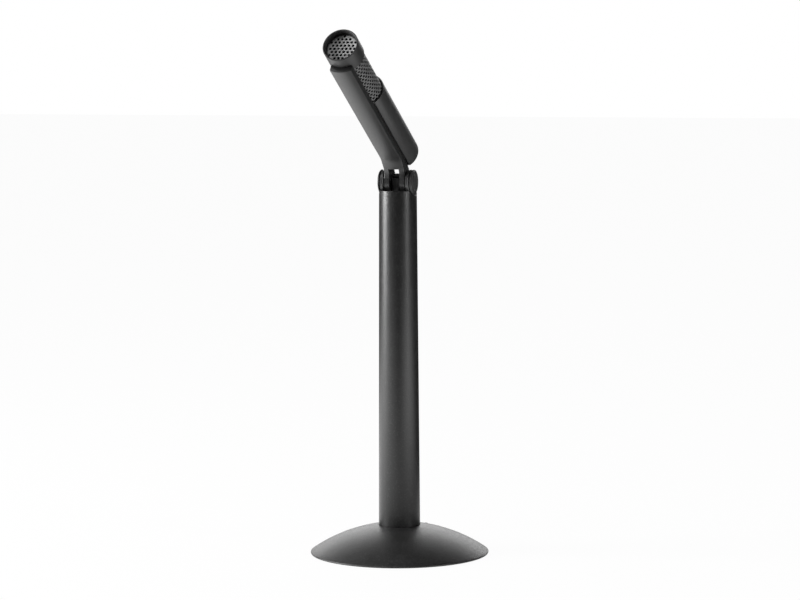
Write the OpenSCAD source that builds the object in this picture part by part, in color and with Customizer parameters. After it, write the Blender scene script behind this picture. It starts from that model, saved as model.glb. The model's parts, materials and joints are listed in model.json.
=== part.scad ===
// Desk microphone: weighted dome base, straight tube stalk, friction hinge
// and a slim pencil head that tips forward over the base.
// Millimetres. Origin: centre of the foot pad's underside. +Z is up, the head leans towards -Y.

/* [Base] */
// Diameter of the base at its rim
base_d = 75; // [72:1:80]
// Radius of the base's spherical top
dome_r = 66; // [65:0.1:67]
// Wall of the base shell
shell_wall = 2; // [1.8:0.1:2.2]
// Height of the shell's bottom edge above the table
shell_lift = 0.15; // [0.1:0.05:0.3]
// Rounding of the rim
rim_round = 0.5; // [0.4:0.1:0.6]
// Thickness of the rubber foot pad
pad_t = 1; // [0.8:0.1:1]
// Thickness of the steel base plate
plate_t = 1; // [0.8:0.1:1]

/* [Stalk] */
// Height of the tube's top edge above the table
stalk_top = 153; // [130:1:180]
// Outside diameter of the tube where it meets the base
stalk_d_low = 17.4; // [17:0.1:17.6]
// Outside diameter of the tube at its top edge
stalk_d_top = 15.8; // [15.7:0.1:16.2]
// Wall of the tube
stalk_wall = 1.2; // [1.1:0.1:1.3]

/* [Hinge] */
// Height of the hinge screw above the tube's top edge
hinge_rise = 3.4; // [3.2:0.1:3.6]
// Radius of the round ears
ear_r = 5.25; // [5.1:0.05:5.3]
// Radius of the head's two knuckles
knuckle_r = 5; // [4.8:0.1:5.1]
// Radius of the hinge screw
screw_r = 1; // [0.9:0.05:1]
// Forward tilt of the head from upright, in degrees
head_tilt = 58; // [-30:1:90]

/* [Head] */
// Outside diameter of the rear sleeve
sleeve_d = 15.2; // [15:0.1:15.4]
// Outside diameter of the end cap
cap_d = 14.6; // [14.4:0.1:14.8]
// Length of the barrel, from the sleeve's closed end to the end cap's rim
barrel_len = 86.8; // [80:0.2:95]
// Distance from the hinge screw to the barrel's centre line
barrel_back = 12.3; // [12:0.1:12.6]
// Distance from the hinge screw to the barrel's closed end, along the barrel
barrel_start = 1.6; // [1.5:0.1:2]
// Length of the end cap
cap_len = 8.5; // [8:0.1:9]
// Length of barrel that the rear sleeve leaves open, measured from the rim
open_len = 34.5; // [32:0.5:37]
// Depth of the end grille below the rim
grille_depth = 2.8; // [2.4:0.1:3]
// Distance between the holes of the end grille
grille_pitch = 1.68; // [1.6:0.02:1.8]
// Size of the holes of the end grille
grille_hole = 1.05; // [0.9:0.05:1.2]
// Half of the front housing's width
spine_half = 4.5; // [4.4:0.05:4.55]

/* [Lead] */
// Radius of the inner lead
lead_r = 1.3; // [1.2:0.05:1.3]
// Radius of the outlet that takes the outer lead
outlet_r = 1.6; // [1.5:0.05:1.65]

/* [Hidden] */
$fn = 64;
gap = 0.05;      // between pieces that are assembled and do not move
through = 1;     // how far a cutter runs past the face it opens

// Base
rim_r = base_d / 2;
rim_angle = acos((rim_r - rim_round) / (dome_r - rim_round));
rim_z = shell_lift + rim_round * sin(45);
dome_z = rim_z - (dome_r - rim_round) * sin(rim_angle);
inner_dome_r = dome_r - shell_wall;
plate_top = pad_t + plate_t;
plate_r = rim_r - 5;
ledge_r = rim_r - 6.6;
weight_r = rim_r - 8.5;
weight_low = plate_top + 0.2;
weight_dome_r = inner_dome_r - 0.4;
seat_z = 9;
seat_r = 9;
bolt_r = 2;
bolt_head_r = 3.5;
bolt_head_z = weight_low + 0.4;
bolt_head_t = 2.4;
washer_z = bolt_head_z + bolt_head_t;
washer_t = 0.8;
boss_ring_r = 20;
boss_r = 2.6;
boss_top = domeHeight(inner_dome_r, boss_ring_r + boss_r) + 0.6;
boss_angles = [30, 150, 270];
base_screw_r = 1.2;
base_screw_head_r = 2.3;
base_screw_head_t = 0.8;
base_screw_len = 5.9;
boss_foot = 4;       // height at which the bosses end
pilot_low = 3;
pilot_len = 4.2;
lead_slot = 1.7;     // half width of the lead's slot under the weight
gland_z = 4.7;
gland_r = 2.15;
gland_in = 26.5;
gland_lip = 0.5;
gland_out = rim_r - 1.9;
outlet_in = 29.8;

// Stalk
stalk_foot_z = domeHeight(dome_r, stalk_d_low / 2);
stalk_slope = (stalk_d_low - stalk_d_top) / 2 / (stalk_top - stalk_foot_z);
stalk_bottom_r = stalk_d_low / 2 + stalk_slope * (stalk_foot_z - seat_z);
stalk_top_r = stalk_d_top / 2;
bush_r = stalk_bottom_r - stalk_wall - 0.15;
bush_len = 12;
tube_edge = 0.25;
bolt_len = 14;
plug_r = stalk_top_r - stalk_wall - 0.1;
plug_len = 9.6;
plug_bore_r = 3.4;
lead_room = 1.5;     // half width of the lead's way past the plug
deck_z = stalk_top - 2.4;
lead_y = 5.2;
bend_r = 5;

// Hinge stack, half widths along X from the middle
hinge_z = stalk_top + hinge_rise;
tongue_x = 1.7;
tongue_r = 3.7;
tongue_step = 1.9;   // how far forward the round part reaches
tongue_front = 3.1;  // and the stem below it
tongue_ledge = 1.9;
arm_in = 2.3;
arm_out = 4.4;
friction_washer_in = 4.5;
friction_washer_t = 0.3;
ear_in = 4.9;
ear_out = 7.3;
groove_in = 6.2;
groove_out = 6.8;
groove_r = 4.4;
pocket_floor = 5.6;
pocket_r = 2.6;
screw_head_r = 1.9;
screw_head_t = 1.2;
nut_r = 2.3;
nut_t = 0.9;
spring_t = 0.33;
cover_seat = 6.95;
cover_r = 4.7;
cover_edge = 7.35;
cover_top = 7.6;
notch_r = ear_r + 0.4;
web_clear = 5.5;
slot_turn = 58;    // way that the fork opens, from the barrel's own direction

// Barrel: lengths along the barrel from the hinge screw, radii about its centre line
rim_d = barrel_start + barrel_len;
sleeve_r = sleeve_d / 2;
sleeve_in_r = sleeve_r - 0.6;
sleeve_top = rim_d - open_len;
sleeve_end_t = 1.2;
sleeve_round = 1.5;
sleeve_gap = spine_half + 0.4;
sleeve_front = 5.2;
cap_r = cap_d / 2;
cap_low = rim_d - cap_len;
grille_z = rim_d - grille_depth;
grille_t = 0.4;
grille_r = cap_r - 0.75;
seat_in = 5.9;       // radius of the cap's seat for the grille
core_r = 6.2;
core_in_r = 5.4;
core_low = barrel_start + sleeve_end_t + 0.2;
core_top = grille_z - grille_t - 0.4;
mesh_r = 6.7;
mesh_in_r = 6.3;
mesh_low = sleeve_top - 2;
mesh_top = cap_low + 0.8;
boot_low = core_top - 12.6;
boot_top = core_top - 2.4;
capsule_r = 4.85;
capsule_low = boot_low + 2;
capsule_len = 6.7;
plug_d_len = 4;
sleeve_screw_y = 4;
sleeve_screw_r = 0.7;
sleeve_screw_head_r = 1.5;
sleeve_bore_r = 2.2;
housing_screw_d = [18, 46];
housing_screw_r = 0.7;
housing_screw_head_r = 1.4;
housing_screw_end = 8.6;
housing_boss_r = 1.6;

// Front housing, measured from the barrel's centre line
spine_in_r = cap_r + 0.1;
spine_edge = 8.6;
spine_front = 9.4;
spine_top = rim_d - 5.2;
spine_low = 13;
neck_top = 9.5;
neck_bend = 6.6;
neck_bend_y = 1.3;
neck_foot = 4;
neck_foot_y = -2.3;

// Points along an arc about c, from angle a to angle b
function arc(c, r, a, b, n = 16) = [for (i = [0:n]) c + r * [cos(a + (b - a) * i / n), sin(a + (b - a) * i / n)]];

// Height of a sphere about the dome's centre, at radius r
function domeHeight(sphere_r, r) = dome_z + sqrt(sphere_r * sphere_r - r * r);

// Arc of a sphere about the dome's centre, from radius a to radius b
function domeArc(sphere_r, a, b, n = 24) =
    arc([0, dome_z], sphere_r, acos(a / sphere_r), acos(b / sphere_r), n);

// Ring with a round bore, along +Z
module ring(r_out, r_in, h) {
    difference() {
        cylinder(r = r_out, h = h);
        translate([0, 0, -through]) cylinder(r = r_in, h = h + 2 * through);
    }
}

// Turns +Z to +X at the hinge screw's height
module alongX(x) translate([x, 0, hinge_z]) rotate([0, 90, 0]) children();

// The head's frame: +Z along the barrel, +Y towards its back, origin on the hinge screw
module headFrame() translate([0, 0, hinge_z]) rotate([head_tilt, 0, 0]) children();

// The same, about the barrel's centre line
module barrelFrame() headFrame() translate([0, barrel_back, 0]) children();

// ---- base ----
module base_shell() {
    hole_r = stalk_bottom_r + 0.1;
    outer = concat(
        domeArc(dome_r, hole_r, dome_r * cos(rim_angle)),
        arc([rim_r - rim_round, rim_z], rim_round, rim_angle, -45, 10));
    inner = concat(
        [[plate_r + gap, shell_lift], [plate_r + gap, plate_top + gap]],
        domeArc(inner_dome_r, ledge_r, hole_r));
    color("#2b2c2e") difference() {
        union() {
            rotate_extrude($fn = 128) polygon(concat(outer, inner));
            for (a = boss_angles) rotate(a) translate([boss_ring_r, 0, boss_foot])
                cylinder(r = boss_r, h = boss_top - boss_foot, $fn = 32);
        }
        for (a = boss_angles) rotate(a) translate([boss_ring_r, 0, pilot_low])
            cylinder(r = base_screw_r - 0.1, h = pilot_len);
        translate([0, gland_in - 3, gland_z]) rotate([-90, 0, 0]) cylinder(r = gland_r + gap, h = 14);
    }
}

module base_weight() {
    color("#4a4a4c") difference() {
        rotate_extrude($fn = 128) polygon(concat(
            [[0, seat_z], [0, weight_low], [weight_r, weight_low]],
            domeArc(weight_dome_r, weight_r, seat_r),
            [[seat_r, seat_z]]));
        translate([0, 0, weight_low - through]) cylinder(r = bolt_r + 0.2, h = 12);
        translate([0, 0, weight_low - through])
            cylinder(r = bolt_head_r + 0.6, h = washer_z + washer_t - weight_low + through);
        for (a = boss_angles) rotate(a) translate([boss_ring_r, 0, 0])
            cylinder(r = boss_r + 0.5, h = seat_z + 5, $fn = 32);
        leadCut(lead_y - lead_slot, lead_y + bend_r + 0.4, lead_slot, 14);
        leadCut(lead_y + bend_r, rim_r, lead_slot, gland_z + lead_slot);
        leadCut(gland_in - 0.6, rim_r, gland_r + 0.3, gland_z + gland_r + 0.4);
    }
}

// Slot for the lead in the weight's underside, from y0 to y1 and up to the height z1
module leadCut(y0, y1, half, z1) {
    translate([-half, y0, 0]) cube([2 * half, y1 - y0, z1]);
}

module base_plate() {
    color("#6b6d70") difference() {
        translate([0, 0, pad_t]) cylinder(r = plate_r, h = plate_t, $fn = 128);
        for (a = boss_angles) rotate(a) translate([boss_ring_r, 0, 0]) {
            cylinder(r = base_screw_r + 0.2, h = 6);
            translate([0, 0, pad_t - gap]) cylinder(r = base_screw_head_r + 0.2, h = base_screw_head_t + gap);
        }
    }
}

module foot_pad() {
    color("#1b1b1c") cylinder(r = plate_r - 0.2, h = pad_t - gap, $fn = 128);
}

module base_screws() {
    color("silver") for (a = boss_angles) rotate(a) translate([boss_ring_r, 0, pad_t]) {
        cylinder(r = base_screw_head_r, h = base_screw_head_t);
        cylinder(r = base_screw_r - 0.15, h = base_screw_len);
    }
}

module cable_gland() {
    color("#1b1b1c") translate([0, 0, gland_z]) rotate([-90, 0, 0]) difference() {
        translate([0, 0, gland_in]) union() {
            cylinder(r = gland_r, h = gland_out - gland_in - gland_lip);
            translate([0, 0, gland_out - gland_in - gland_lip]) cylinder(r = gland_r - 0.3, h = gland_lip);
        }
        cylinder(r = lead_r + gap, h = gland_out);
        translate([0, 0, outlet_in]) cylinder(r = outlet_r, h = gland_out - outlet_in + through);
    }
}

// ---- stalk ----
module stalk_tube() {
    color("#26272a") difference() {
        rotate_extrude($fn = 128) polygon([
            [stalk_bottom_r - stalk_wall, seat_z], [stalk_bottom_r, seat_z],
            [stalk_top_r, stalk_top - tube_edge], [stalk_top_r - tube_edge, stalk_top],
            [stalk_top_r - stalk_wall, stalk_top]]);
        alongX(-12) cylinder(r = notch_r, h = 24);
    }
}

module stalk_bush() {
    color("#3b3b3d") translate([0, 0, seat_z]) difference() {
        cylinder(r = bush_r, h = bush_len);
        translate([0, 0, -through]) cylinder(r = bolt_r + gap, h = bush_len + 2 * through);
        translate([0, lead_y, -through]) cylinder(r = lead_r + 0.25, h = bush_len + 2 * through);
    }
}

module stalk_bolt() {
    color("silver") translate([0, 0, bolt_head_z]) {
        difference() {
            cylinder(r = bolt_head_r, h = bolt_head_t);
            for (a = [0, 90]) rotate(a) translate([-1.9, -0.4, -through])
                cube([3.8, 0.8, bolt_head_t / 2 + through]);
        }
        translate([0, 0, bolt_head_t]) cylinder(r = bolt_r, h = bolt_len);
    }
}

module stalk_washer() {
    color("silver") translate([0, 0, washer_z]) ring(bolt_head_r + 0.3, bolt_r + 0.1, washer_t - gap);
}

module stand_lead() {
    color("#141414") {
        translate([0, lead_y + bend_r, gland_z]) rotate([-90, 0, 0])
            cylinder(r = lead_r, h = outlet_in - lead_y - bend_r, $fn = 32);
        translate([0, lead_y + bend_r, gland_z + bend_r]) rotate([90, 0, 90]) rotate(180)
            rotate_extrude(angle = 90, $fn = 48) translate([bend_r, 0]) circle(r = lead_r, $fn = 32);
        translate([0, lead_y, gland_z + bend_r]) cylinder(r = lead_r, h = deck_z - gland_z - bend_r, $fn = 32);
    }
}

// ---- hinge ----
module hinge_cap() {
    color("#242528") difference() {
        union() {
            translate([0, 0, deck_z - plug_len]) cylinder(r = plug_r, h = plug_len);
            for (side = [0, 1]) mirror([side, 0, 0]) ear();
            tongue();
        }
        translate([0, 0, deck_z - plug_len - through]) cylinder(r = plug_bore_r, h = plug_len - 2 + through);
        translate([-lead_room, lead_y - lead_room, deck_z - plug_len - through])
            cube([2 * lead_room, 4, plug_len + 2 * through]);
        alongX(-pocket_floor - through) cylinder(r = screw_r + 0.03, h = 2 * (pocket_floor + through));
        for (side = [0, 1]) mirror([side, 0, 0]) {
            alongX(pocket_floor) cylinder(r = pocket_r, h = 3);
            alongX(cover_seat) cylinder(r = cover_r + gap, h = 3);
        }
    }
}

// Round ear with its groove, and the web that stands it on the plug
module ear() {
    alongX(ear_in) cylinder(r = ear_r, h = groove_in - ear_in);
    alongX(groove_in) cylinder(r = groove_r, h = groove_out - groove_in);
    alongX(groove_out) cylinder(r = ear_r, h = ear_out - groove_out);
    intersection() {
        translate([ear_in, -4, deck_z - through]) cube([3, 8, hinge_z - deck_z]);
        cylinder(r = plug_r - gap, h = hinge_z);
    }
}

// Centre tongue between the fork's arms: a round part about the hinge screw, on a stem that
// stands further forward and ends in a ledge
module tongue() {
    alongX(-tongue_x) intersection() {
        cylinder(r = tongue_r, h = 2 * tongue_x);
        translate([-10, -tongue_step, 0]) cube([20, 10, 2 * tongue_x]);
    }
    stem_low = deck_z - through;
    translate([-tongue_x, -tongue_front, stem_low])
        cube([2 * tongue_x, tongue_front, hinge_z + tongue_ledge - stem_low]);
    translate([-tongue_x, -through, stem_low]) cube([2 * tongue_x, tongue_r + through, hinge_z - stem_low]);
}

module hinge_screw() {
    color("silver") {
        alongX(-pocket_floor - screw_head_t) difference() {
            cylinder(r = screw_head_r, h = screw_head_t);
            for (a = [0, 90]) rotate(a) translate([-1.2, -0.25, -through])
                cube([2.4, 0.5, screw_head_t / 2 + through]);
        }
        alongX(-pocket_floor - 0.1) cylinder(r = screw_r, h = 2 * pocket_floor + screw_head_t);
    }
}

module hinge_nut() {
    color("silver") alongX(pocket_floor + spring_t + 0.07) difference() {
        cylinder(r = nut_r, h = nut_t, $fn = 6);
        translate([0, 0, -through]) cylinder(r = screw_r + 0.02, h = 3);
    }
}

module spring_washer() {
    color("gray") alongX(pocket_floor + 0.02) ring(nut_r - 0.1, screw_r + 0.1, spring_t);
}

module friction_washers() {
    color("#222222") for (side = [0, 1]) mirror([side, 0, 0])
        alongX(friction_washer_in) ring(knuckle_r - 0.3, screw_r + 0.08, friction_washer_t);
}

// Snap-in disc that hides the screw's head or its nut
module hingeCover() {
    alongX(0) rotate_extrude() polygon([
        [0, cover_seat], [cover_r - 0.1, cover_seat], [cover_r, cover_seat + 0.1],
        [cover_r, cover_edge], [cover_r - 0.25, cover_edge + 0.15],
        [cover_r * 0.6, cover_top - 0.04], [0, cover_top]]);
}

module hinge_cover_left() color("#26272a") mirror([1, 0, 0]) hingeCover();

module hinge_cover_right() color("#26272a") hingeCover();

// ---- head ----
// Thin slice of the housing's neck: half width w, front at y0 with a crown, back at y1
module neckSlice(d, y0, y1, w, crown) {
    translate([0, 0, d]) linear_extrude(0.02) polygon(concat(
        [for (i = [-6:6]) [w * i / 6, y0 - crown * (1 - pow(i / 6, 2))]],
        [[w, y1], [-w, y1]]));
}

module front_housing() {
    edge_y = barrel_back - spine_edge;
    back_y = barrel_back - sqrt(spine_in_r * spine_in_r - spine_half * spine_half);
    crown = spine_front - spine_edge;
    color("#1d1e20") headFrame() difference() {
        union() {
            spine();
            hull() {
                neckSlice(spine_low, edge_y, back_y, spine_half, crown);
                neckSlice(neck_top, edge_y - 1, back_y, spine_half, crown * 0.9);
            }
            hull() {
                neckSlice(neck_top, edge_y - 1, back_y, spine_half, crown * 0.9);
                neckSlice(neck_bend, neck_bend_y, back_y, arm_out, crown * 0.7);
            }
            hull() {
                neckSlice(neck_bend, neck_bend_y, back_y, arm_out, crown * 0.7);
                neckSlice(neck_foot, neck_foot_y, back_y - 0.2, arm_out, 0);
            }
            hull() {
                neckSlice(neck_foot, neck_foot_y, back_y - 0.2, arm_out, 0);
                neckSlice(1, -knuckle_r + 0.2, knuckle_r + 0.5, arm_out, 0);
            }
            rotate([0, 90, 0]) translate([0, 0, -arm_out]) cylinder(r = knuckle_r, h = 2 * arm_out);
            for (d = housing_screw_d) translate([0, barrel_back - core_r - gap, d]) rotate([90, 0, 0])
                cylinder(r = housing_boss_r, h = 2, $fn = 32);
        }
        translate([0, barrel_back, 0]) cylinder(r = core_r + 0.4, h = spine_low);
        slot();
        rotate([0, 90, 0]) translate([0, 0, -10]) cylinder(r = screw_r + 0.06, h = 20);
        for (d = housing_screw_d) translate([0, barrel_back, d]) rotate([90, 0, 0])
            cylinder(r = housing_screw_r + 0.02, h = housing_screw_end, $fn = 32);
    }
}

// Long straight part of the housing: crowned front, hollow back that follows the end cap
module spine() {
    edge_y = barrel_back - spine_edge;
    front = [for (i = [-8:8]) [spine_half * i / 8, edge_y - (spine_front - spine_edge) * (1 - pow(i / 8, 2))]];
    half = asin(spine_half / spine_in_r);
    back = arc([0, barrel_back], spine_in_r, -90 + half, -90 - half, 12);
    translate([0, 0, spine_low - 0.5]) linear_extrude(spine_top - spine_low + 0.5) polygon(concat(front, back));
}

// Slot between the fork's two arms, open to the tongue and to the window above it
module slot() {
    translate([-arm_in, 0, 0]) {
        rotate([0, 90, 0]) cylinder(r = web_clear, h = 2 * arm_in);
        rotate([-slot_turn, 0, 0]) translate([0, -12, -8]) cube([2 * arm_in, 24, 8 + web_clear]);
    }
}

module rear_sleeve() {
    color("#3a3b3d") barrelFrame() difference() {
        rotate_extrude($fn = 96) polygon(concat(
            [[0, barrel_start]],
            arc([sleeve_r - sleeve_round, barrel_start + sleeve_round], sleeve_round, -90, 0, 8),
            [[sleeve_r, sleeve_top], [sleeve_in_r, sleeve_top],
             [sleeve_in_r, barrel_start + sleeve_end_t], [0, barrel_start + sleeve_end_t]]));
        translate([-sleeve_gap, -12, 0]) cube([2 * sleeve_gap, 12 - sleeve_front, rim_d]);
        translate([0, 0, barrel_start - through]) cylinder(r = sleeve_bore_r, h = 4);
        translate([0, sleeve_screw_y, barrel_start - through]) {
            cylinder(r = sleeve_screw_r + 0.2, h = 4);
            cylinder(r = sleeve_screw_head_r + 0.15, h = through + 0.7);
        }
    }
}

module barrel_core() {
    window_low = mesh_low + 3;
    window_len = mesh_top - mesh_low - 7;
    color("#2f2f31") barrelFrame() difference() {
        translate([0, 0, core_low]) ring(core_r, core_in_r, core_top - core_low);
        for (a = [0, 90, 180]) rotate(a) translate([0, -3.2, window_low]) cube([10, 6.4, window_len]);
        for (d = housing_screw_d) translate([0, 10, d]) rotate([90, 0, 0]) {
            cylinder(r = housing_boss_r + 0.1, h = 10, $fn = 32);
            cylinder(r = housing_screw_r + 0.1, h = 20, $fn = 32);
        }
    }
}

module side_mesh() {
    color("#5a5b5e") barrelFrame() translate([0, 0, mesh_low]) ring(mesh_r, mesh_in_r, mesh_top - mesh_low);
}

module end_cap() {
    color("#2b2c2e") barrelFrame() rotate_extrude($fn = 96) polygon([
        [cap_r, cap_low], [cap_r, rim_d - 0.3], [cap_r - 0.15, rim_d], [cap_r - 0.45, rim_d],
        [grille_r + gap, rim_d - 0.3], [grille_r + gap, grille_z - grille_t], [seat_in, grille_z - grille_t],
        [seat_in, core_top + gap], [core_r + gap, core_top + gap], [core_r + gap, mesh_top + gap],
        [mesh_r + gap, mesh_top + gap], [mesh_r + gap, cap_low]]);
}

module end_grille() {
    rows = 4;
    color("#b4b5b7") barrelFrame() translate([0, 0, grille_z - grille_t]) difference() {
        cylinder(r = grille_r, h = grille_t, $fn = 96);
        for (j = [-rows:rows], i = [-rows:rows]) {
            x = grille_pitch * (i + (j % 2 == 0 ? 0 : 0.5));
            y = grille_pitch * sin(60) * j;
            if (norm([x, y]) < grille_r - 0.7)
                translate([x, y, -through]) rotate(30) cylinder(d = grille_hole, h = 3, $fn = 6);
        }
    }
}

module grille_ring() {
    color("#38393b") barrelFrame() translate([0, 0, grille_z + 0.02]) ring(grille_r, grille_r - 0.45, 0.4);
}

module windscreen_foam() {
    color("#202020") barrelFrame() translate([0, 0, boot_top + gap])
        cylinder(r = core_in_r - 0.1, h = grille_z - grille_t - boot_top - 2 * gap);
}

module capsule_boot() {
    color("#19191a") barrelFrame() difference() {
        translate([0, 0, boot_low]) cylinder(r = core_in_r - 0.1, h = boot_top - boot_low);
        translate([0, 0, boot_low + 1]) cylinder(r = capsule_r + gap, h = boot_top);
        translate([0, 0, boot_low - through]) cylinder(r = lead_r + 0.1, h = 3);
    }
}

module mic_capsule() {
    color("#a9abae") barrelFrame() translate([0, 0, capsule_low]) difference() {
        cylinder(r = capsule_r, h = capsule_len);
        translate([0, 0, capsule_len - 0.3]) cylinder(r = capsule_r - 0.5, h = 1);
        translate([0, 0, -through]) ring(capsule_r + 1, capsule_r - 0.4, through + 0.4);
    }
}

module capsule_felt() {
    color("#101010") barrelFrame() translate([0, 0, capsule_low + capsule_len - 0.25])
        cylinder(r = capsule_r - 0.6, h = 0.5);
}

module capsule_board() {
    color("#1f5a38") barrelFrame() translate([0, 0, boot_low + 1.1])
        cylinder(r = capsule_r - 0.1, h = 0.7);
}

module side_foam() {
    color("#2a2a2a") barrelFrame() translate([0, 0, mesh_low + 1])
        ring(core_in_r - 0.1, 3.9, boot_low - mesh_low - 1 - gap);
}

module housing_screws() {
    color("silver") barrelFrame() for (d = housing_screw_d) translate([0, -core_in_r + 0.1, d])
        rotate([90, 0, 0]) {
            translate([0, 0, -1]) cylinder(r = housing_screw_head_r, h = 0.9, $fn = 32);
            translate([0, 0, -0.2]) cylinder(r = housing_screw_r, h = 3, $fn = 32);
        }
}

module core_plug() {
    color("#2f2f31") barrelFrame() translate([0, 0, core_low]) difference() {
        cylinder(r = core_in_r - gap, h = plug_d_len);
        translate([0, 0, -through]) {
            cylinder(r = lead_r + 0.1, h = plug_d_len + 2 * through);
            translate([0, sleeve_screw_y, 0]) cylinder(r = sleeve_screw_r + 0.06, h = plug_d_len + 2 * through);
        }
    }
}

module sleeve_screw() {
    color("silver") barrelFrame() translate([0, sleeve_screw_y, barrel_start + 0.05]) {
        cylinder(r = sleeve_screw_head_r, h = 0.6);
        cylinder(r = sleeve_screw_r, h = 4.4);
    }
}

module lead_grommet() {
    color("#19191a") barrelFrame() translate([0, 0, barrel_start - 0.5]) difference() {
        union() {
            cylinder(r = sleeve_bore_r - 0.15, h = sleeve_end_t + 0.6);
            cylinder(r = sleeve_bore_r + 0.2, h = 0.45);
        }
        translate([0, 0, -through]) cylinder(r = lead_r + gap, h = 5);
    }
}

module head_lead() {
    color("#141414") barrelFrame() translate([0, 0, barrel_start - 0.5])
        cylinder(r = lead_r, h = boot_low + 1 - barrel_start + 0.5, $fn = 32);
}

base_shell();
base_weight();
base_plate();
foot_pad();
base_screws();
cable_gland();
stalk_tube();
stalk_bush();
stalk_bolt();
stalk_washer();
stand_lead();
hinge_cap();
hinge_screw();
hinge_nut();
spring_washer();
friction_washers();
hinge_cover_left();
hinge_cover_right();
front_housing();
rear_sleeve();
barrel_core();
side_mesh();
end_cap();
end_grille();
grille_ring();
windscreen_foam();
capsule_boot();
mic_capsule();
capsule_felt();
capsule_board();
side_foam();
housing_screws();
core_plug();
sleeve_screw();
lead_grommet();
head_lead();
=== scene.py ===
# Desk microphone: dome base, tube stalk, friction hinge and a tilting pencil head.
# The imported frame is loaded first, then each visible piece is modelled round it in
# millimetres, and settled into the frame in metres once its mesh is finished.
import bpy
import json
import math
from mathutils import Matrix, Vector


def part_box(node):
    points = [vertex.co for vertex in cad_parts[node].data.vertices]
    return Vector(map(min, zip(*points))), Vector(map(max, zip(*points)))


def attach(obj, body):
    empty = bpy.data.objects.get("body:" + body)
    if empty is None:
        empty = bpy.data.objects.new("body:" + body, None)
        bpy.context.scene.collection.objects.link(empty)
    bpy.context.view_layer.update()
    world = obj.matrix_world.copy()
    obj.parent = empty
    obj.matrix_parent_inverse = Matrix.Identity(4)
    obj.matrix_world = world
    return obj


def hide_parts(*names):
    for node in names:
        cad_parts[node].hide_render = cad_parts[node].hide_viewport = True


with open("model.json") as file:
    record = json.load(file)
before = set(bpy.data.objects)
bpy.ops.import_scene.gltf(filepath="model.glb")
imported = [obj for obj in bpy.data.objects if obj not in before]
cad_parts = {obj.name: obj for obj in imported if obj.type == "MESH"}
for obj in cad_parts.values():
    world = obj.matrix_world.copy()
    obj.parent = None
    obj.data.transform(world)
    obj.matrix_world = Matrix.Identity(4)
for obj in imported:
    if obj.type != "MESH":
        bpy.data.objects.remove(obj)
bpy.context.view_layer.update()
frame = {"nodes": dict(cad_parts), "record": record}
mm = 0.001
print("frame loaded with", len(frame["nodes"]), "nodes")

cameraView = {
    "azimuth": 19.05,      # degrees from the front towards +X
    "distance": 1.17818,
    "height": 0.2179,
    "pitch": 5.38,         # degrees below the horizon
    "roll": -0.27,
    "sideways": 0.00065,
    "lens": 127.17,
}


def makeCamera():
    data = bpy.data.cameras.new("camera")
    data.lens = cameraView["lens"]
    data.sensor_width = 36
    data.clip_start, data.clip_end = 0.05, 20
    camera = bpy.data.objects.new("camera", data)
    bpy.context.scene.collection.objects.link(camera)
    a, p = math.radians(cameraView["azimuth"]), math.radians(cameraView["pitch"])
    back = Vector((math.sin(a) * math.cos(p), -math.cos(a) * math.cos(p), math.sin(p)))
    level = Vector((math.cos(a), math.sin(a), 0))
    turn = Matrix.Rotation(math.radians(cameraView["roll"]), 3, back)
    right = turn @ level
    up = back.cross(right)
    place = Vector((math.sin(a), -math.cos(a), 0)) * cameraView["distance"]
    place += Vector((0, 0, cameraView["height"])) + right * cameraView["sideways"]
    axes = Matrix((right, up, back)).transposed().to_4x4()
    camera.matrix_world = Matrix.Translation(place) @ axes
    bpy.context.scene.camera = camera


makeCamera()


studio = {
    "keyPower": 18,
    "rimPower": 3.6,
    "topPower": 2,
    "roomLevel": 0.035,    # what the object sees of the dark room
    "backLevel": 4.2,      # and of the bright wall behind it
    "tableLevel": 0.03,    # glow of the table
    # bright patches of the table: x, y, full out to, gone at, level
    "patches": ((-0.31, -0.10, 0.13, 0.44, 2.8), (0.29, -0.08, 0.08, 0.25, 3.2)),
    "wallSides": (0.68, 0.90),     # cosine from straight behind: gone, full
    "wallFoot": (0.08, 0.22),      # sine of the height above the horizon: gone, full
    "backdrop": 1.0,       # what the camera sees behind the object
    "floorSeen": 0.96,     # and of the table
}


def areaLight(name, place, aim, size, power):
    data = bpy.data.lights.new(name, "AREA")
    data.shape, data.size, data.size_y = "RECTANGLE", size[0], size[1]
    data.energy = power
    lamp = bpy.data.objects.new(name, data)
    bpy.context.scene.collection.objects.link(lamp)
    lamp.location = place
    lamp.rotation_euler = (Vector(aim) - Vector(place)).to_track_quat("-Z", "Y").to_euler()
    return lamp


class Wire:
    # A node's output that takes part in Python expressions
    def __init__(self, paint, socket):
        self.paint, self.socket = paint, socket

    def __add__(self, other):
        return self.paint.maths("ADD", self, other)

    def __sub__(self, other):
        return self.paint.maths("SUBTRACT", self, other)

    def __rsub__(self, other):
        return self.paint.maths("SUBTRACT", other, self)

    def __mul__(self, other):
        return self.paint.maths("MULTIPLY", self, other)

    __radd__ = __add__
    __rmul__ = __mul__


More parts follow.
